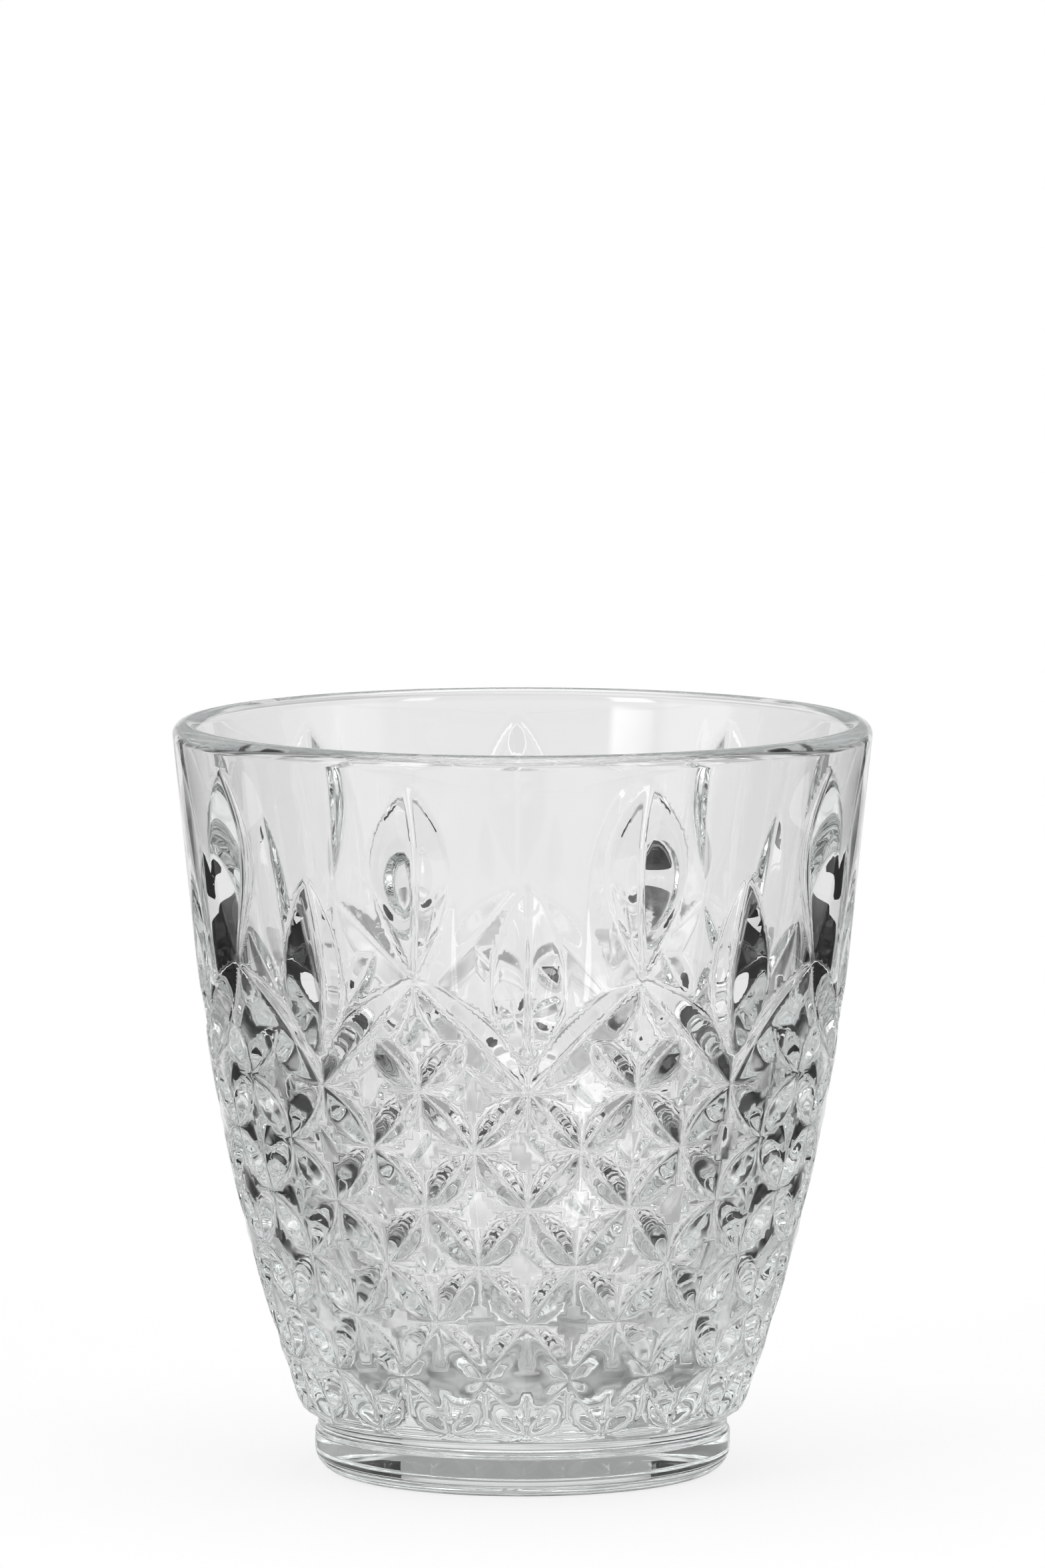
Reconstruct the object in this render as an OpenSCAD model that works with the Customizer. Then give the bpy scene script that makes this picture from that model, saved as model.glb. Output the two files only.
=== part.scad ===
// Whiskey tumbler: one piece of clear pressed glass. Lens-shaped V grooves cover the
// outside of the wall. Two rings of upright leaves stand over a zigzag, and a lattice
// of diamonds runs from the zigzag down to a smooth neck and a round foot.
// Z is the tumbler's own axis, and Z = 0 is the plane that it stands on.

/* [Body] */
// Height from the table to the top of the rim
height = 90; // [88:1:94]
// Outer diameter just under the rim
rim_d = 83.5; // [82:0.5:86]
// Thickness of the glass at the rim
rim_wall = 3; // [2.6:0.2:3.4]
// Lean of the straight upper wall, in degrees from upright
wall_lean = 5.9; // [5.7:0.1:6.1]
// Height at which the straight upper wall turns into the curved belly
belly_top = 63; // [62:1:64]
// Radius of the curve that the belly follows
belly_r = 235; // [225:5:245]

/* [Inside] */
// Thickness of the base, from the table to the inside floor
base_thickness = 13; // [11:1:15]
// Lean of the inside wall, which thickens the glass downwards
inside_lean = 9.6; // [9:0.2:10]
// Radius of the curve that the lower part of the inside follows
inside_r = 150; // [140:5:160]
// Radius of the corner between the inside wall and the floor
floor_round = 8; // [6:0.5:8]

/* [Foot] */
// Outer diameter of the foot
foot_d = 49.7; // [49.5:0.1:50.1]
// Diameter of the neck between the foot and the wall
neck_d = 49.1; // [48.7:0.1:49.1]
// Height of the straight side of the foot
foot_h = 5; // [4.6:0.2:5.2]
// Radius of the rounding at the bottom of the foot
foot_round = 3; // [2.4:0.2:3.2]
// Diameter of the hollow under the foot
recess_d = 38; // [34:1:40]
// Depth of the hollow under the foot
recess_depth = 1.2; // [0.8:0.2:1.6]

/* [Cut pattern] */
// Number of tall leaves round the tumbler, with two diamonds to each
leaves = 9; // [8:1:10]
// Height of the lowest row of lattice crossings
lattice_bottom = 14.8; // [14.4:0.2:15.2]
// Height from one row of crossings to the next
row_pitch = 7.04; // [6.96:0.04:7.12]
// Height of the points where the zigzag meets the tall leaves
peak_z = 62.8; // [62:0.2:63.4]
// Depth of the lattice grooves
lattice_depth = 1.6; // [1.2:0.1:1.8]
// Depth of the zigzag grooves
zigzag_depth = 1.5; // [1.2:0.1:1.7]
// Depth of the leaves
leaf_depth = 1.9; // [1.5:0.1:2.1]
// Facets across half a diamond
facets = 3; // [2:1:3]

/* [Hidden] */
$fn = 96;
eps = 0.01;

// Outer wall
rim_r = rim_d / 2;
rim_round = rim_wall / 2;
rim_flat = 0.5;
wall_top = height - rim_round;
belly_top_r = rim_r - (wall_top - belly_top) * tan(wall_lean);
belly_x = belly_top_r - belly_r * cos(wall_lean);
belly_z = belly_top + belly_r * sin(wall_lean);
shoulder_round = 2.8;
shoulder_z = 9.6;
shoulder_x = belly_x + sqrt(pow(belly_r - shoulder_round, 2) - pow(belly_z - shoulder_z, 2));

// Inside wall
inside_top_r = rim_r - rim_wall;
inside_bend_z = 60;
inside_bend_r = inside_top_r - (wall_top - inside_bend_z) * tan(inside_lean);
inside_x = inside_bend_r - inside_r * cos(inside_lean);
inside_z = inside_bend_z + inside_r * sin(inside_lean);
corner_z = base_thickness + floor_round;
corner_x = inside_x + sqrt(pow(inside_r - floor_round, 2) - pow(inside_z - corner_z, 2));
corner_end_z = corner_z - floor_round * (inside_z - corner_z) / (inside_r - floor_round);

// Cut pattern. Step is the angle from one crossing to the nearest one in the next row.
step = 90 / leaves;
rows = 6;
lattice_top = lattice_bottom + (rows - 1) * row_pitch;
lattice_width = 4.2;
zigzag_width = 5.4;
tall_leaf_top = 86.4;
tall_leaf_width = 9.6;
short_leaf_bottom = 53.4;
short_leaf_top = 74;
short_leaf_width = 7.8;

// Facets. Every crossing, crease and leaf tip falls on a corner of the facets.
front = -90;
around = 4 * leaves * facets;
zigzag_rings = 2 * facets;
leaf_rings = 3 * facets;

// Outer radius of the uncut glass at height z, from the neck to the rim
function wall_r(z) = z > belly_top
    ? belly_top_r + (z - belly_top) * tan(wall_lean)
    : z > shoulder_z
        ? belly_x + sqrt(pow(belly_r, 2) - pow(belly_z - z, 2))
        : shoulder_x + sqrt(pow(shoulder_round, 2) - pow(shoulder_z - z, 2));

// Depth at point p of a V groove that runs straight from a to b. It is widest and
// deepest halfway, and both its width and its depth run out to nothing at its ends.
function groove(p, a, b, width, depth) =
    let (
        run = b - a,
        t = (p - a) * run / (run * run),
        off = norm(p - a - t * run)
    )
    max(0, 4 * t * (1 - t) * depth - off * 2 * depth / width);

// Depth of the cuts at an angle from the middle of a short leaf, and at height z. Angles
// are folded into the half period between a short leaf and the next tall one.
function cut_depth(angle, z) =
    let (
        turn = abs(angle - 4 * step * round(angle / (4 * step))),
        arc = PI / 180 * wall_r(z),
        p = [turn * arc, z],
        valley = [0, lattice_top],
        peak = [2 * step * arc, peak_z],
        tall_leaf = groove(p, peak, [2 * step * arc, tall_leaf_top], tall_leaf_width, leaf_depth),
        short_leaf = groove(p, [0, short_leaf_bottom], [0, short_leaf_top], short_leaf_width, leaf_depth),
        zigzag = groove(p, valley, peak, zigzag_width, zigzag_depth),
        arm = groove(p, [2 * step * arc, lattice_top], [step * arc, lattice_top + row_pitch],
            lattice_width, lattice_depth)
    )
    z > lattice_top ? max(tall_leaf, short_leaf, zigzag, arm) : lattice_cut_depth(turn, z);

// Depth of the lattice at an angle and height. Its straight grooves pass every 2 steps.
function lattice_cut_depth(angle, z) =
    let (
        arc = PI / 180 * wall_r(z),
        row = floor((lattice_top - z) / row_pitch),
        top = lattice_top - row * row_pitch,
        shift = (row % 2) * step,
        turn = abs(angle + shift - 2 * step * round((angle + shift) / (2 * step)))
    )
    groove([turn * arc, z], [0, top], [step * arc, top - row_pitch], lattice_width, lattice_depth);

// Heights of the facet rings over the patterned wall
ring_heights = concat(
    [for (i = [0 : rows * facets - 1]) lattice_top - row_pitch * (rows - i / facets)],
    [for (i = [0 : zigzag_rings - 1]) lattice_top + (peak_z - lattice_top) * i / zigzag_rings],
    [for (i = [0 : leaf_rings]) peak_z + (tall_leaf_top - peak_z) * i / leaf_rings]
);

// Plain rings of the foot and the neck, as [radius, height]
foot_rings = concat(
    [for (a = [0 : 30 : 90]) [foot_d / 2 - foot_round * (1 - sin(a)), foot_round * (1 - cos(a))]],
    [
        [foot_d / 2, foot_h],
        [neck_d / 2, foot_h + 0.5],
        [neck_d / 2, shoulder_z - shoulder_round + 0.02]
    ]
);

// Plain rings of the rim's outer rounding, up to the flat on top
rim_rings = [
    for (a = [0 : 30 : 60])
        [rim_r - rim_round * (1 - cos(a)), wall_top + rim_round * sin(a)],
    [rim_r - rim_round + rim_flat, height]
];

function ring_points(r, z) = [for (i = [0 : around - 1])
    let (turn = front + 360 * i / around) [r * cos(turn), r * sin(turn), z]];

function cut_ring_points(z) = [for (i = [0 : around - 1])
    let (
        angle = 360 * i / around,
        turn = front + angle,
        r = wall_r(z) - cut_depth(angle, z)
    )
    [r * cos(turn), r * sin(turn), z]];

// The outside of the glass, filled in, as rings of facets from the table to the rim.
// The facets' diagonals swap from one to the next, so that they follow the creases.
module outside() {
    rings = concat(
        [for (ring = foot_rings) ring_points(ring[0], ring[1])],
        [for (z = ring_heights) cut_ring_points(z)],
        [for (ring = rim_rings) ring_points(ring[0], ring[1])]
    );
    last = len(rings) - 1;
    lattice_start = len(foot_rings);
    polyhedron(
        points = [for (ring = rings) each ring],
        faces = concat(
            [[for (i = [0 : around - 1]) i]],
            [[for (i = [around - 1 : -1 : 0]) last * around + i]],
            [
                for (j = [0 : last - 1], i = [0 : around - 1])
                    let (
                        a = j * around + i,
                        b = j * around + (i + 1) % around,
                        c = b + around,
                        d = a + around,
                        rising = (i + j - lattice_start) % 2 == 0
                    )
                    each rising ? [[a, c, b], [a, d, c]] : [[a, d, b], [b, d, c]]
            ]
        )
    );
}

// Half section of the space inside, up through the rim
module inside_section() {
    intersection() {
        translate([inside_x, inside_z])
            circle(r = inside_r);
        translate([0, corner_end_z])
            square([rim_r, inside_bend_z - corner_end_z]);
    }
    polygon([
        [0, inside_bend_z - eps],
        [inside_bend_r, inside_bend_z - eps],
        [inside_top_r, wall_top],
        [inside_top_r + rim_round - rim_flat, height + eps],
        [inside_top_r + rim_round - rim_flat, height + rim_wall],
        [0, height + rim_wall]
    ]);
    translate([corner_x, corner_z])
        circle(r = floor_round);
    translate([0, base_thickness])
        square([corner_x, floor_round + eps]);
}

// Half section of the shallow hollow under the foot
module recess_section() {
    polygon([
        [0, -rim_wall],
        [recess_d / 2, -rim_wall],
        [recess_d / 2, 0],
        [recess_d / 2 - recess_depth, recess_depth],
        [0, recess_depth]
    ]);
}

module tumbler() {
    color("azure", 0.35)
        difference() {
            outside();
            rotate_extrude()
                inside_section();
            rotate_extrude()
                recess_section();
        }
}

tumbler();
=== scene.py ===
"""Whiskey tumbler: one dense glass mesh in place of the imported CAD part, a pale studio and the camera."""

import math

import bpy
import numpy as np
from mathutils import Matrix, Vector


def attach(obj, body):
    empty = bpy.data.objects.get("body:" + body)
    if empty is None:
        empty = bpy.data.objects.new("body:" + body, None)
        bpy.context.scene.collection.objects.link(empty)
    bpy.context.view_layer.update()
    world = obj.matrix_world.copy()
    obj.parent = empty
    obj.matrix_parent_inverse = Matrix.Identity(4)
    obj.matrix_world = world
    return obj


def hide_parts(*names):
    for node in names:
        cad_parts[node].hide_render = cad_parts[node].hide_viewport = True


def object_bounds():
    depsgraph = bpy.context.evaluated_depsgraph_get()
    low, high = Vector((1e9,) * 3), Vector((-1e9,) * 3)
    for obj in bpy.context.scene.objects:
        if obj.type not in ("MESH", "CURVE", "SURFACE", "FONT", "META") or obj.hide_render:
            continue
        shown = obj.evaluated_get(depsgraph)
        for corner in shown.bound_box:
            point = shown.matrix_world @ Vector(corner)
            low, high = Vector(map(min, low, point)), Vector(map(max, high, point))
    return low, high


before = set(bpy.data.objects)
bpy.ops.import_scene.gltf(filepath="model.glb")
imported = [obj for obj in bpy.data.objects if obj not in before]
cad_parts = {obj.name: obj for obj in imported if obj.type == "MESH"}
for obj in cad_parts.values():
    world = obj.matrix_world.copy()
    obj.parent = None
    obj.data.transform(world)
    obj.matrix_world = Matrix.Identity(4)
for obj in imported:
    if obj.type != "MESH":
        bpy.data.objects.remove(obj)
CAD_LOW, CAD_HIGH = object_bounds()

MM = 0.001

# The frame gives the outer sizes. The rest is in millimetres, as in the CAD model.
HEIGHT = (CAD_HIGH.z - CAD_LOW.z) / MM
RIM_R = (CAD_HIGH.x - CAD_LOW.x) / 2 / MM
RIM_WALL = 3.0
WALL_LEAN = math.radians(5.9)
BELLY_TOP = 63.0
BELLY_R = 235.0
SHOULDER_R = 2.8
SHOULDER_Z = 9.6
FOOT_R = 24.85
FOOT_H = 5.0
FOOT_ROUND = 3.0
NECK_R = 24.5
BASE_THICKNESS = 13.0
INSIDE_LEAN = math.radians(9.6)
INSIDE_BEND_Z = 60.0
INSIDE_R = 150.0
FLOOR_ROUND = 8.0
RECESS_R = 19.0
RECESS_DEPTH = 1.2

# Where the foot's straight side ends, its upper edge's rounding, and the cove between foot and shoulder
FOOT_SIDE_TOP = 3.8
FOOT_EDGE_ROUND = 0.5
FOOT_EDGE_Z = FOOT_H - 0.3
COVE_HEIGHTS = (FOOT_H + 0.5, 6.2)
COVE_FLARE = 0.15
COVE_TOP = SHOULDER_Z - SHOULDER_R - 0.1

# How far the cut wall stops below the rim's rounding, and where points of the profiles stand
RIM_TOP_GAP = 0.4
RECESS_SHARES = (0.3, 0.6, 0.8, 0.9, 0.96)
RECESS_POWER = 6
FLOOR_SHARES = (0.75, 0.5, 0.25)

# The cut pattern
LEAVES = 9
STEP = math.pi / 2 / LEAVES
ROWS = 6
LATTICE_BOTTOM = 14.8
ROW_PITCH = 7.04
LATTICE_TOP = LATTICE_BOTTOM + (ROWS - 1) * ROW_PITCH
PEAK_Z = 62.8
FRONT = -math.pi / 2

# Grooves: half width and depth at the middle, how far each runs past its crossings as a share of its length,
# how soft its edge and its crease are, and how much its sides bow. Leaves also have the share of their height
# at which they're widest, and their crease at the foot and at the tip.
LATTICE_CUT = {"half": 1.8, "depth": 1.55, "past": 0.0, "soft": 0.55, "crease": 0.3, "bow": 1.15}
ZIGZAG_CUT = {"half": 2.75, "depth": 1.5, "past": 0.03, "soft": 0.5, "crease": 0.35, "bow": 1.15}
TALL_LEAF = {
    "low": 62.9, "high": 86.6, "half": 4.9, "depth": 2.0,
    "widest": 0.56, "soft": 0.45, "crease": (0.12, 0.45), "bow": 1.5,
}
SHORT_LEAF = {
    "low": 53.6, "high": 74.6, "half": 3.95, "depth": 1.75,
    "widest": 0.42, "soft": 0.45, "crease": (0.12, 0.55), "bow": 1.0,
}

# Where cuts meet, the higher this is, the sharper the ridge between them
RIDGE_POWER = 4

# Grid: quads across one step of the pattern, and how closely they gather along the creases
QUADS = 12
GATHER = 0.8

# Distance over which the wall's slopes are taken, for its normals
REACH = 0.02


def wall_radius(z):
    """Outer radius of the uncut glass at height z, from the neck up to the rim."""
    rim_start = HEIGHT - RIM_WALL / 2
    top_r = RIM_R - (rim_start - BELLY_TOP) * math.tan(WALL_LEAN)
    x = top_r - BELLY_R * math.cos(WALL_LEAN)
    zc = BELLY_TOP + BELLY_R * math.sin(WALL_LEAN)
    shoulder_x = x + math.sqrt((BELLY_R - SHOULDER_R) ** 2 - (zc - SHOULDER_Z) ** 2)
    straight = top_r + (z - BELLY_TOP) * math.tan(WALL_LEAN)
    belly = x + np.sqrt(np.maximum(BELLY_R**2 - (zc - z) ** 2, 0))
    shoulder = shoulder_x + np.sqrt(np.maximum(SHOULDER_R**2 - (SHOULDER_Z - z) ** 2, 0))
    return np.where(z > BELLY_TOP, straight, np.where(z > SHOULDER_Z, belly, shoulder))


def soft_positive(x, soft):
    """x where it's above soft, 0 where it's below -soft, and a smooth bend between."""
    return np.where(x > soft, x, np.where(x < -soft, 0, (x + soft) ** 2 / (4 * soft)))


def groove(px, pz, a, b, half, depth, past, soft, crease, bow):
    """Depth at (px, pz) of a V groove from a to b, which runs past both ends by a share of its length."""
    ax, az = a[0] - past * (b[0] - a[0]), a[1] - past * (b[1] - a[1])
    bx, bz = b[0] + past * (b[0] - a[0]), b[1] + past * (b[1] - a[1])
    run_x, run_z = bx - ax, bz - az
    length = np.hypot(run_x, run_z)
    t = ((px - ax) * run_x + (pz - az) * run_z) / length**2
    off = np.abs((px - ax) * run_z - (pz - az) * run_x) / length
    off = np.sqrt(off**2 + crease**2) - crease
    width = half * 4 * np.clip(t, 0, 1) * (1 - np.clip(t, 0, 1))
    beyond = np.maximum(np.abs(t - 0.5) - 0.5, 0) * length
    return depth * (soft_positive(width - off - beyond, soft) / half) ** bow


def leaf(x, z, low, high, half, depth, widest, soft, crease, bow):
    """Depth of an upright leaf: a V whose crease is sharp at its foot and rounder towards its tip."""
    t = np.clip((z - low) / (high - low), 0, 1)
    even = t ** (math.log(0.5) / math.log(widest))
    width = half * 4 * even * (1 - even)
    bend = crease[0] + (crease[1] - crease[0]) * t
    off = np.sqrt(x**2 + bend**2) - bend
    beyond = np.maximum(np.maximum(low - z, z - high), 0)
    return depth * (soft_positive(width - off - beyond, soft) / half) ** bow


def cut_depth(angle, z):
    """Depth of all the cuts at an angle from a short leaf's middle and at height z."""
    turn = np.abs(angle - 4 * STEP * np.round(angle / (4 * STEP)))
    radius = wall_radius(z)
    x = turn * radius
    one, two = STEP * radius, 2 * STEP * radius
    cuts = [leaf(x - two, z, **TALL_LEAF), leaf(x, z, **SHORT_LEAF)]
    for start, end in ((0, two), (0, -two), (2 * two, two)):
        cuts.append(groove(x, z, (start, LATTICE_TOP), (end, PEAK_Z), **ZIGZAG_CUT))
    cuts.append(groove(x, z, (two, LATTICE_TOP), (one, LATTICE_TOP + ROW_PITCH), **LATTICE_CUT))
    for row in range(ROWS):
        top = LATTICE_TOP - row * ROW_PITCH
        for k in range(-1, 3):
            start = (2 * k + row % 2) * one
            for end in (start - one, start + one):
                cuts.append(groove(x, z, (start, top), (end, top - ROW_PITCH), **LATTICE_CUT))
    return sum(cut**RIDGE_POWER for cut in cuts) ** (1 / RIDGE_POWER)


def arc(cx, cz, r, start, end, count):
    """Points (radius, height) on an arc, with angles in degrees from the outward direction."""
    angles = np.radians(np.linspace(start, end, count))
    return [(cx + r * math.cos(a), cz + r * math.sin(a)) for a in angles]


def foot_profile():
    """Points from the inner edge of the foot's flat ring out, up its side and into the neck."""
    flat = [(RECESS_R + (FOOT_R - FOOT_ROUND - RECESS_R) * t, 0.0) for t in (0.0, 0.5)]
    corner = arc(FOOT_R - FOOT_ROUND, FOOT_ROUND, FOOT_ROUND, -90, 0, 10)
    side = [(FOOT_R, FOOT_SIDE_TOP)]
    top = arc(FOOT_R - FOOT_EDGE_ROUND, FOOT_EDGE_Z, FOOT_EDGE_ROUND, 0, 60, 4)
    cove = [(NECK_R, z) for z in COVE_HEIGHTS] + [(NECK_R + COVE_FLARE, COVE_TOP)]
    return flat + corner + side + top + cove


def inside_profile():
    """Points from the top of the rim down the inside wall to the middle of the floor."""
    rim_c = RIM_R - RIM_WALL / 2
    start_z = HEIGHT - RIM_WALL / 2
    rim = arc(rim_c, start_z, RIM_WALL / 2, 100, 180, 8)
    top_r = RIM_R - RIM_WALL
    bend_r = top_r - (start_z - INSIDE_BEND_Z) * math.tan(INSIDE_LEAN)
    x = bend_r - INSIDE_R * math.cos(INSIDE_LEAN)
    zc = INSIDE_BEND_Z + INSIDE_R * math.sin(INSIDE_LEAN)
    corner_z = BASE_THICKNESS + FLOOR_ROUND
    corner_x = x + math.sqrt((INSIDE_R - FLOOR_ROUND) ** 2 - (zc - corner_z) ** 2)
    heights = np.linspace(start_z - 1, INSIDE_BEND_Z, 14)
    straight = [(top_r - (start_z - z) * math.tan(INSIDE_LEAN), z) for z in heights]
    low_angle = -math.degrees(math.asin((zc - corner_z) / (INSIDE_R - FLOOR_ROUND)))
    belly = arc(x, zc, INSIDE_R, -math.degrees(INSIDE_LEAN), low_angle, 16)[1:]
    corner = arc(corner_x, corner_z, FLOOR_ROUND, low_angle, -90, 14)[1:]
    floor = [(corner_x * t, BASE_THICKNESS) for t in FLOOR_SHARES]
    return rim + straight + belly + corner + floor


def rim_profile():
    """Points of the rim's outer rounding."""
    return arc(RIM_R - RIM_WALL / 2, HEIGHT - RIM_WALL / 2, RIM_WALL / 2, 0, 90, 9)


def recess_profile():
    """Points of the hollow under the foot, from its middle out to the flat ring."""
    return [(RECESS_R * t, RECESS_DEPTH * (1 - t**RECESS_POWER)) for t in RECESS_SHARES]


def cut_grid():
    """Angles and heights of the grid over the cut wall, whose lines gather along the creases."""
    columns = np.arange(4 * LEAVES * QUADS)[None, :] / QUADS
    rows = np.arange(-ROWS * QUADS, 2 * QUADS)[:, None] / QUADS
    u, v = (columns + rows) / 2, (columns - rows) / 2
    gather = GATHER * np.clip(1 - rows / 2, 0, 1) / (2 * math.pi)
    across = columns - gather * (np.sin(2 * math.pi * u) + np.sin(2 * math.pi * v))
    up = rows - gather * (np.sin(2 * math.pi * u) - np.sin(2 * math.pi * v))
    heights = LATTICE_TOP + up * np.where(up < 0, ROW_PITCH, (PEAK_Z - LATTICE_TOP) / 2)
    leaf_heights = np.linspace(PEAK_Z, HEIGHT - RIM_WALL / 2 - RIM_TOP_GAP, 3 * QUADS + 1)[:, None]
    shape = (len(leaf_heights), columns.shape[1])
    across = np.concatenate([across, np.broadcast_to(columns, shape)])
    heights = np.concatenate([heights, np.broadcast_to(leaf_heights, shape)])
    return across * STEP, heights


def cut_wall():
    """Points and outward normals of the cut wall, as arrays of rings by angles by 3."""

    def radius(angle, z):
        return wall_radius(z) - cut_depth(angle, z)

    angle, z = cut_grid()
    r = radius(angle, z)
    around = (radius(angle + REACH / r, z) - radius(angle - REACH / r, z)) / (2 * REACH)
    up = (radius(angle, z + REACH) - radius(angle, z - REACH)) / (2 * REACH)
    cos, sin = np.cos(FRONT + angle), np.sin(FRONT + angle)
    points = np.stack([r * cos, r * sin, z], -1)
    normals = np.stack([cos + around * sin, sin - around * cos, -up], -1)
    return points, normals / np.linalg.norm(normals, axis=-1, keepdims=True)


def plain_rings(profile, count):
    """Points and normals of rings turned from a profile, as arrays of rings by angles by 3."""
    line = np.array(profile)
    along = np.gradient(line, axis=0)
    along /= np.linalg.norm(along, axis=1, keepdims=True)
    angle = FRONT + np.arange(count) * 2 * math.pi / count
    cos, sin = np.cos(angle)[None, :], np.sin(angle)[None, :]
    flat = np.ones((len(line), count))
    points = np.stack([line[:, :1] * cos, line[:, :1] * sin, line[:, 1:] * flat], -1)
    normals = np.stack([along[:, 1:] * cos, along[:, 1:] * sin, -along[:, :1] * flat], -1)
    return points, normals


def band_faces(rows, count, first, shift):
    """Triangles between rings. The diagonals alternate, so that they meet in long straight lines."""
    j, i = np.meshgrid(np.arange(rows - 1), np.arange(count), indexing="ij")
    a, b = first + j * count + i, first + j * count + (i + 1) % count
    c, d = b + count, a + count
    rising = ((i + j - shift) % 2 == 0)[..., None]
    one = np.where(rising, np.stack([a, b, c], -1), np.stack([a, b, d], -1))
    two = np.where(rising, np.stack([a, c, d], -1), np.stack([b, c, d], -1))
    return np.concatenate([one.reshape(-1, 3), two.reshape(-1, 3)])


def halving_faces(fine, coarse, count):
    """Triangles from a ring of count points to one of half as many, given the first point of each."""
    k = np.arange(count // 2)
    after = coarse + (k + 1) % (count // 2)
    left, middle, right = fine + 2 * k, fine + 2 * k + 1, fine + (2 * k + 2) % count
    sides = [(left, middle, coarse + k), (middle, right, after), (middle, after, coarse + k)]
    return np.concatenate([np.stack(side, -1) for side in sides])


def tumbler_mesh():
    """The whole tumbler, from under its foot up the outside, over the rim and down to the inside floor."""
    count = 4 * LEAVES * QUADS
    below = plain_rings([(0.0, RECESS_DEPTH)] + recess_profile() + foot_profile(), count)
    cut = cut_wall()
    rim = plain_rings(rim_profile(), count)
    inside = plain_rings(inside_profile() + [(0.0, BASE_THICKNESS)], count // 2)
    outer = [np.concatenate(arrays) for arrays in zip(below, cut, rim)]
    rows, inner_rows = len(outer[0]) - 1, len(inside[0]) - 1
    middles = ((outer[0][0, 0], inside[0][-1, 0]), ((0, 0, -1), (0, 0, 1)))
    points, normals = [
        np.concatenate([outer[i][1:].reshape(-1, 3), inside[i][:-1].reshape(-1, 3), middles[i]])
        for i in (0, 1)
    ]
    inner_first = rows * count
    k, half = np.arange(count), count // 2
    bottom = np.stack([np.full(count, len(points) - 2), (k + 1) % count, k], -1)
    last = inner_first + (inner_rows - 1) * half
    k = np.arange(half)
    top = np.stack([np.full(half, len(points) - 1), last + k, last + (k + 1) % half], -1)
    faces = [
        bottom,
        band_faces(rows, count, 0, len(below[0]) - 1),
        halving_faces(inner_first - count, inner_first, count),
        band_faces(inner_rows, half, inner_first, 0),
        top,
    ]
    return mesh_from(points * MM, normals, np.concatenate(faces))


def mesh_from(points, normals, faces):
    mesh = bpy.data.meshes.new("glass_tumbler")
    mesh.vertices.add(len(points))
    mesh.vertices.foreach_set("co", points.ravel())
    mesh.loops.add(faces.size)
    mesh.loops.foreach_set("vertex_index", faces.ravel())
    mesh.polygons.add(len(faces))
    mesh.polygons.foreach_set("loop_start", np.arange(len(faces)) * 3)
    mesh.update(calc_edges=True)
    mesh.polygons.foreach_set("use_smooth", np.ones(len(faces), bool))
    mesh.normals_split_custom_set_from_vertices(normals)
    return mesh


# The glass. The wear is on the ring that it stands on, and ends between two heights.
GLASS_IOR = 1.52
GLASS_TINT = (0.935, 0.955, 0.95, 1)
GLASS_DENSITY = 22.0
WAVE_LENGTH = 6 * MM
WAVE_HEIGHT = 0.008 * MM
WORN_ROUGHNESS = 0.12
WORN_HEIGHTS = (0.1 * MM, 0.6 * MM)


def glass_material():
    """Clear pressed glass: faintly grey where it's thick, faintly wavy, and worn where it stands."""
    material = bpy.data.materials.new("clear_glass")
    material.use_nodes = True
    nodes, links = material.node_tree.nodes, material.node_tree.links
    shader = nodes["Principled BSDF"]
    shader.inputs["Base Color"].default_value = (1, 1, 1, 1)
    shader.inputs["Transmission Weight"].default_value = 1.0
    shader.inputs["IOR"].default_value = GLASS_IOR
    coords = nodes.new("ShaderNodeTexCoord").outputs["Object"]

    waves = nodes.new("ShaderNodeTexNoise")
    waves.inputs["Scale"].default_value = 1 / WAVE_LENGTH
    waves.inputs["Detail"].default_value = 1.0
    links.new(coords, waves.inputs["Vector"])
    bump = nodes.new("ShaderNodeBump")
    bump.inputs["Strength"].default_value = 1.0
    bump.inputs["Distance"].default_value = WAVE_HEIGHT
    links.new(waves.outputs[0], bump.inputs["Height"])
    links.new(bump.outputs[0], shader.inputs["Normal"])

    split = nodes.new("ShaderNodeSeparateXYZ")
    links.new(coords, split.inputs[0])
    worn = map_range(nodes, links, split.outputs["Z"], WORN_HEIGHTS, (WORN_ROUGHNESS, 0.0))
    links.new(worn, shader.inputs["Roughness"])

    absorb = nodes.new("ShaderNodeVolumeAbsorption")
    absorb.inputs["Color"].default_value = GLASS_TINT
    absorb.inputs["Density"].default_value = GLASS_DENSITY
    links.new(absorb.outputs[0], nodes["Material Output"].inputs["Volume"])
    return material


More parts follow.
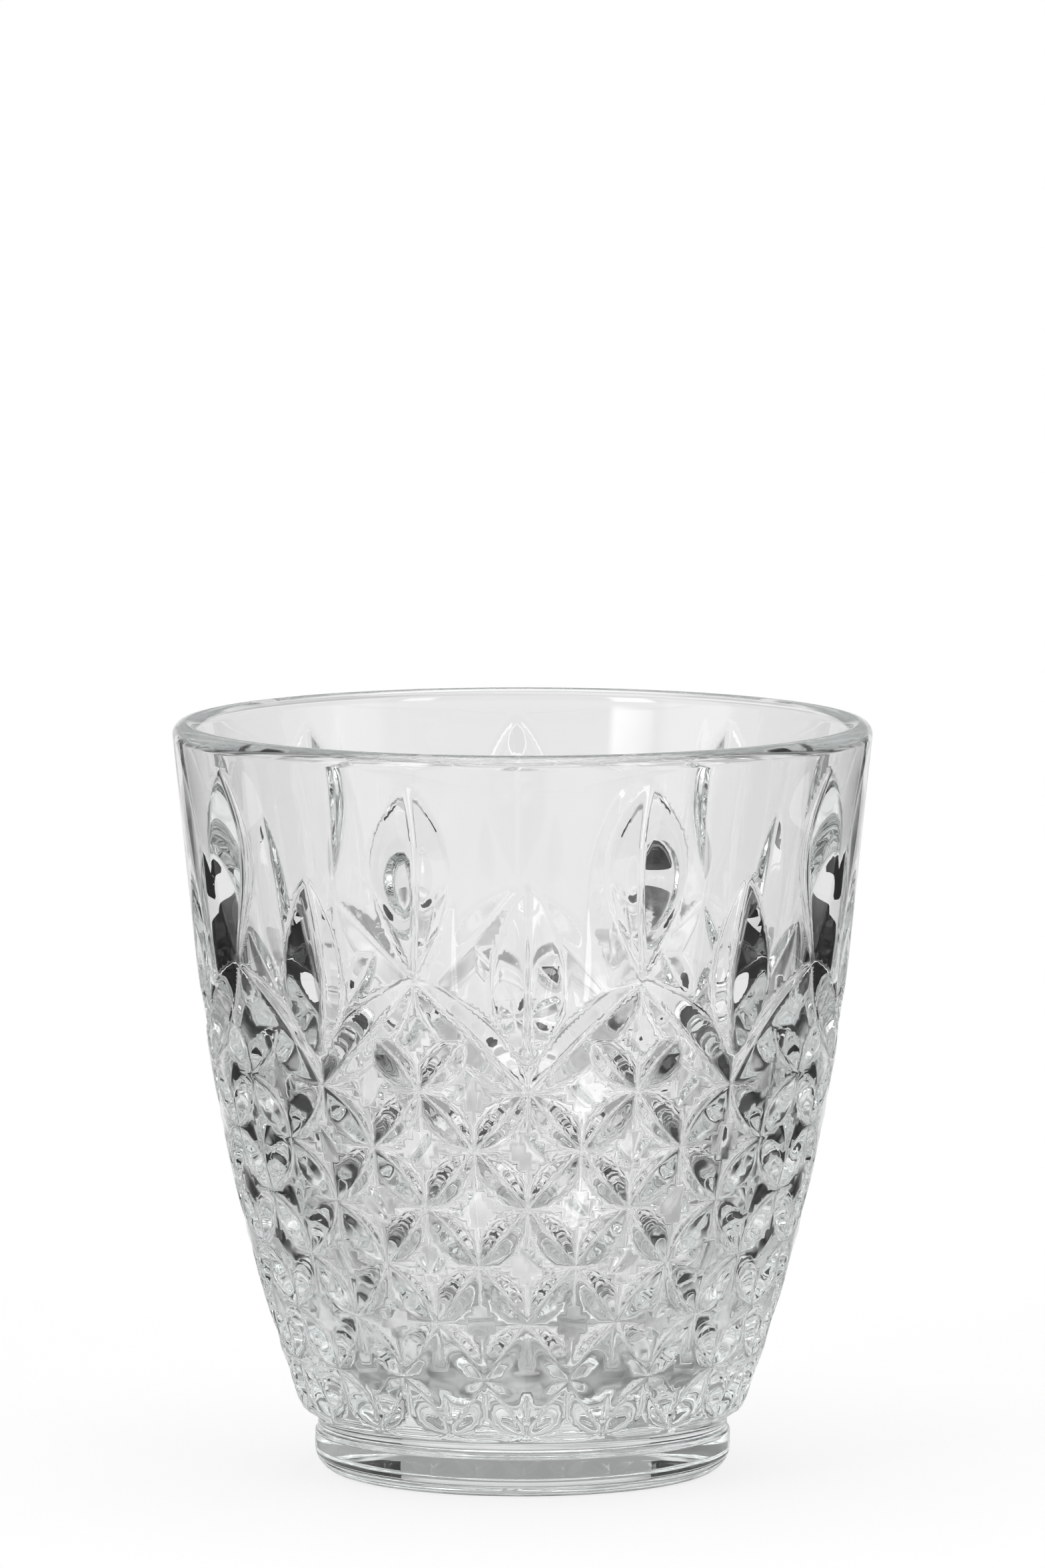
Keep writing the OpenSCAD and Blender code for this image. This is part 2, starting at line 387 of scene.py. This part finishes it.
# The studio. Bearings are in degrees from straight behind the glass, to the right; heights are in degrees.
FLOOR_RADIUS = 14
FLOOR_GREY = 0.22
FLOOR_GLOW = 0.76
BACKDROP_RADIUS = 4.5
BACKDROP_HEIGHT = 3.0
DOME_LEVEL = 0.34
PANELS = [
    {"bearing": 0.0, "half": 24.0, "low": -20.0, "high": 5.0, "soft": 10.0, "light": 0.44},
    {"bearing": 180.0, "half": 84.0, "low": -20.0, "high": 12.0, "soft": 10.0, "light": 0.6},
    {"bearing": -112.0, "half": 14.0, "low": -2.0, "high": 44.0, "soft": 6.0, "light": 0.9},
    {"bearing": 118.0, "half": 10.0, "low": 2.0, "high": 38.0, "soft": 6.0, "light": 0.7},
    {"bearing": -38.0, "half": 6.0, "low": 12.0, "high": 40.0, "soft": 6.0, "light": 0.5},
    {"bearing": 40.0, "half": 5.0, "low": 14.0, "high": 44.0, "soft": 6.0, "light": 0.45},
    {"bearing": -138.0, "half": 8.0, "low": 12.0, "high": 36.0, "soft": 4.0, "light": 5.0},
    {"bearing": 142.0, "half": 6.0, "low": 14.0, "high": 34.0, "soft": 4.0, "light": 4.0},
    {"bearing": 0.0, "half": 12.0, "low": 17.0, "high": 28.0, "soft": 8.0, "light": 0.4},
    {"bearing": 0.0, "half": 400.0, "low": 60.0, "high": 100.0, "soft": 12.0, "light": 2.3},
]

# Cards and mats that only the glass sees. The grey mat is painted shade: it stands in for the floor round the
# foot, shaded and greyer than the white floor. It dims towards its sides from one share of the way round to
# another, and its ramp and reach are distances from its middle.
CARD_GREY = 0.015
CARD_X = 0.24
CARD_NEAR = 0.04
CARD_FAR = 0.50
CARD_HEIGHT = 0.10
PALE_RADIUS = 8.0
PALE_GREY = 0.75
MAT_RADIUS = 0.25
MAT_LIFT = 0.0002
MAT_RAMP = (FOOT_R * MM, 4 * FOOT_R * MM)
SHADE_GREY_NEAR = 0.72
SHADE_GREY_FAR = 0.68
MAT_ASIDE = 0.03
MAT_DIM_FROM = 0.35
MAT_DIM_TO = 0.8
MAT_DIM_REACH = 0.105
# Painted caustic light on the grey mat: how far its streaks swing about 1, how many there are round and
# outwards, and the noise span they come from
PAINTED_CAUSTIC_SWING = 0.3
STREAKS_ROUND = 3.0
STREAKS_OUT = 15.0
STREAK_NOISE = (0.4, 0.6)

# The camera: looks level with the upper wall, from a little above
CAMERA_DISTANCE = 1.6
CAMERA_ELEVATION = math.radians(6.07)
CAMERA_LENS = 308.0
CAMERA_TURN = math.radians(-1.0)
AIM_HEIGHT = 82.4 * MM

# How many surfaces a ray may cross. The cuts need many.
GLASS_BOUNCES = 32
GLOSSY_BOUNCES = 16


def make_floor():
    """White paper that is lit nearly evenly, so the shade round the foot is faint."""
    bpy.ops.mesh.primitive_circle_add(vertices=128, radius=FLOOR_RADIUS, fill_type="NGON")
    floor = bpy.context.object
    floor.name = "floor"
    floor.data.materials.append(matte_material("floor", FLOOR_GREY, FLOOR_GLOW))


def make_backdrop():
    """A plain white wall all round. Only the camera sees it, so it doesn't change the light."""
    bpy.ops.mesh.primitive_cylinder_add(
        vertices=64,
        radius=BACKDROP_RADIUS,
        depth=BACKDROP_HEIGHT,
        end_fill_type="NOTHING",
        location=(0, 0, BACKDROP_HEIGHT / 2),
    )
    wall = bpy.context.object
    wall.name = "backdrop"
    wall.data.materials.append(matte_material("backdrop", 0.0, 1.0))
    for ray in ("diffuse", "glossy", "transmission", "volume_scatter", "shadow"):
        setattr(wall, "visible_" + ray, False)


def matte_material(name, grey, glow=0.0):
    material = bpy.data.materials.new(name)
    material.use_nodes = True
    shader = material.node_tree.nodes["Principled BSDF"]
    shader.inputs["Base Color"].default_value = (grey, grey, grey, 1)
    shader.inputs["Roughness"].default_value = 1.0
    shader.inputs["Specular IOR Level"].default_value = 0.0
    shader.inputs["Emission Color"].default_value = (1, 1, 1, 1)
    shader.inputs["Emission Strength"].default_value = glow
    return material


def glass_only(card):
    """Only the glass shows this card: it throws no shade on the floor and isn't in view itself."""
    card.visible_camera = False
    card.visible_diffuse = False
    card.visible_shadow = False


def make_cards():
    """Two low black cards beside the glass and two mats under it, which put the darks into the cuts. The grey
    mat is painted shade of the floor round the foot.
    """
    for x in (-CARD_X, CARD_X):
        corners = [(x, CARD_NEAR, 0), (x, CARD_FAR, 0)]
        corners += [(x, CARD_FAR, CARD_HEIGHT), (x, CARD_NEAR, CARD_HEIGHT)]
        mesh = bpy.data.meshes.new("black_card")
        mesh.from_pydata(corners, [], [(0, 1, 2, 3)])
        mesh.materials.append(matte_material("black_card", CARD_GREY))
        card = bpy.data.objects.new("black_card", mesh)
        bpy.context.collection.objects.link(card)
        glass_only(card)
    make_mat("painted_shade_mat", MAT_RADIUS, MAT_LIFT, painted_shade_material())
    make_mat("pale_mat", PALE_RADIUS, MAT_LIFT / 2, matte_material("pale_mat", PALE_GREY))


def make_mat(name, radius, lift, material):
    bpy.ops.mesh.primitive_circle_add(vertices=64, radius=radius, fill_type="NGON", location=(0, 0, lift))
    mat = bpy.context.object
    mat.name = name
    mat.data.materials.append(material)
    glass_only(mat)


def painted_shade_material():
    """Painted shade of the floor round the foot: light grey that is nearly black at both sides, with faint
    streaks of painted caustic light running outwards.
    """
    material = matte_material("painted_shade_mat", SHADE_GREY_FAR)
    nodes, links = material.node_tree.nodes, material.node_tree.links
    split = nodes.new("ShaderNodeSeparateXYZ")
    links.new(nodes.new("ShaderNodeTexCoord").outputs["Object"], split.inputs[0])
    x, y = split.outputs[0], split.outputs[1]
    squares = math_node(nodes, links, "MULTIPLY", x, x)
    squares = math_node(nodes, links, "MULTIPLY_ADD", y, y, squares)
    distance = math_node(nodes, links, "SQRT", squares)
    # Painted shade: the grey eases from the near grey at the foot to the far grey further out
    grey = map_range(nodes, links, distance, MAT_RAMP, (SHADE_GREY_NEAR, SHADE_GREY_FAR))
    # Painted caustic light: streaks running outwards from the foot
    grey = math_node(nodes, links, "MULTIPLY", grey, painted_caustic_streaks(nodes, links, x, y, distance))
    grey = math_node(nodes, links, "MULTIPLY", grey, mat_sides(nodes, links, x, distance))
    links.new(grey, nodes["Principled BSDF"].inputs["Base Color"])
    return material


def painted_caustic_streaks(nodes, links, x, y, distance):
    """Painted caustic light: noise about 1 that is stretched outwards, like light that came through the cuts.
    """
    bearing = math_node(nodes, links, "ARCTAN2", x, y)
    place = nodes.new("ShaderNodeCombineXYZ")
    links.new(math_node(nodes, links, "MULTIPLY", bearing, STREAKS_ROUND), place.inputs[0])
    links.new(math_node(nodes, links, "MULTIPLY", distance, STREAKS_OUT), place.inputs[1])
    noise = nodes.new("ShaderNodeTexNoise")
    noise.inputs["Scale"].default_value = 1.0
    noise.inputs["Detail"].default_value = 2.0
    links.new(place.outputs[0], noise.inputs["Vector"])
    return map_range(nodes, links, noise.outputs[0], STREAK_NOISE, (1 - PAINTED_CAUSTIC_SWING, 1 + PAINTED_CAUSTIC_SWING))


def mat_sides(nodes, links, x, distance):
    """1 ahead of and behind the glass, down to MAT_ASIDE at its sides, and 1 again close to its foot."""
    aside = math_node(nodes, links, "ABSOLUTE", math_node(nodes, links, "DIVIDE", x, distance))
    far = map_range(nodes, links, distance, (0.0, MAT_DIM_REACH), (0.0, 1.0))
    aside = math_node(nodes, links, "MULTIPLY", aside, far)
    return map_range(nodes, links, aside, (MAT_DIM_FROM, MAT_DIM_TO), (1.0, MAT_ASIDE), smooth=True)


def soft_window(nodes, links, value, low, high, soft):
    """1 where value is between low and high, 0 outside, with edges as wide as soft."""
    rise = map_range(nodes, links, value, (low - soft / 2, low + soft / 2), (0.0, 1.0), smooth=True)
    fall = map_range(nodes, links, value, (high - soft / 2, high + soft / 2), (1.0, 0.0), smooth=True)
    return math_node(nodes, links, "MULTIPLY", rise, fall)


def map_range(nodes, links, value, before, after, smooth=False):
    """Value, moved from the range before to the range after, and held within it."""
    node = nodes.new("ShaderNodeMapRange")
    if smooth:
        node.interpolation_type = "SMOOTHSTEP"
    for name, number in zip(("From Min", "From Max", "To Min", "To Max"), before + after):
        node.inputs[name].default_value = number
    links.new(value, node.inputs["Value"])
    return node.outputs["Result"]


def math_node(nodes, links, operation, *values):
    node = nodes.new("ShaderNodeMath")
    node.operation = operation
    for socket, value in zip(node.inputs, values):
        if isinstance(value, (int, float)):
            socket.default_value = value
        else:
            links.new(value, socket)
    return node.outputs[0]


def make_world():
    """Soft light from all round: a dim dome with brighter panels."""
    world = bpy.data.worlds.new("studio")
    world.use_nodes = True
    bpy.context.scene.world = world
    nodes, links = world.node_tree.nodes, world.node_tree.links
    coords = nodes.new("ShaderNodeTexCoord")
    split = nodes.new("ShaderNodeSeparateXYZ")
    links.new(coords.outputs["Generated"], split.inputs[0])
    x, y, z = split.outputs
    bearing = math_node(nodes, links, "ARCTAN2", x, y)
    bearing = math_node(nodes, links, "DEGREES", bearing)
    height = math_node(nodes, links, "DEGREES", math_node(nodes, links, "ARCSINE", z))
    total = DOME_LEVEL
    for panel in PANELS:
        turned = math_node(nodes, links, "SUBTRACT", bearing, panel["bearing"])
        turned = math_node(nodes, links, "WRAP", turned, 180.0, -180.0)
        half = panel["half"]
        wide = soft_window(nodes, links, turned, -half, half, panel["soft"])
        tall = soft_window(nodes, links, height, panel["low"], panel["high"], panel["soft"] / 2)
        window = math_node(nodes, links, "MULTIPLY", wide, tall)
        total = math_node(nodes, links, "MULTIPLY_ADD", window, panel["light"], total)
    background = nodes["Background"]
    links.new(total, background.inputs["Strength"])
    background.inputs["Color"].default_value = (1, 1, 1, 1)


def make_camera():
    data = bpy.data.cameras.new("camera")
    camera = bpy.data.objects.new("camera", data)
    bpy.context.collection.objects.link(camera)
    aim = Vector((0, 0, AIM_HEIGHT))
    level, rise = math.cos(CAMERA_ELEVATION), math.sin(CAMERA_ELEVATION)
    back = Vector((level * math.sin(CAMERA_TURN), -level * math.cos(CAMERA_TURN), rise))
    camera.location = aim + back * CAMERA_DISTANCE
    camera.rotation_euler = (-back).to_track_quat("-Z", "Y").to_euler()
    data.sensor_width = 36.0
    data.lens = CAMERA_LENS
    data.clip_start = 0.05
    data.clip_end = 100
    bpy.context.scene.camera = camera


def main():
    tumbler = bpy.data.objects.new("glass_tumbler", tumbler_mesh())
    bpy.context.collection.objects.link(tumbler)
    tumbler.data.materials.append(glass_material())
    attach(tumbler, "root")
    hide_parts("tumbler")
    make_floor()
    make_backdrop()
    make_cards()
    make_world()
    make_camera()
    scene = bpy.context.scene
    scene.view_settings.view_transform = "Standard"
    scene.cycles.max_bounces = GLASS_BOUNCES
    scene.cycles.transmission_bounces = GLASS_BOUNCES
    scene.cycles.glossy_bounces = GLOSSY_BOUNCES


main()
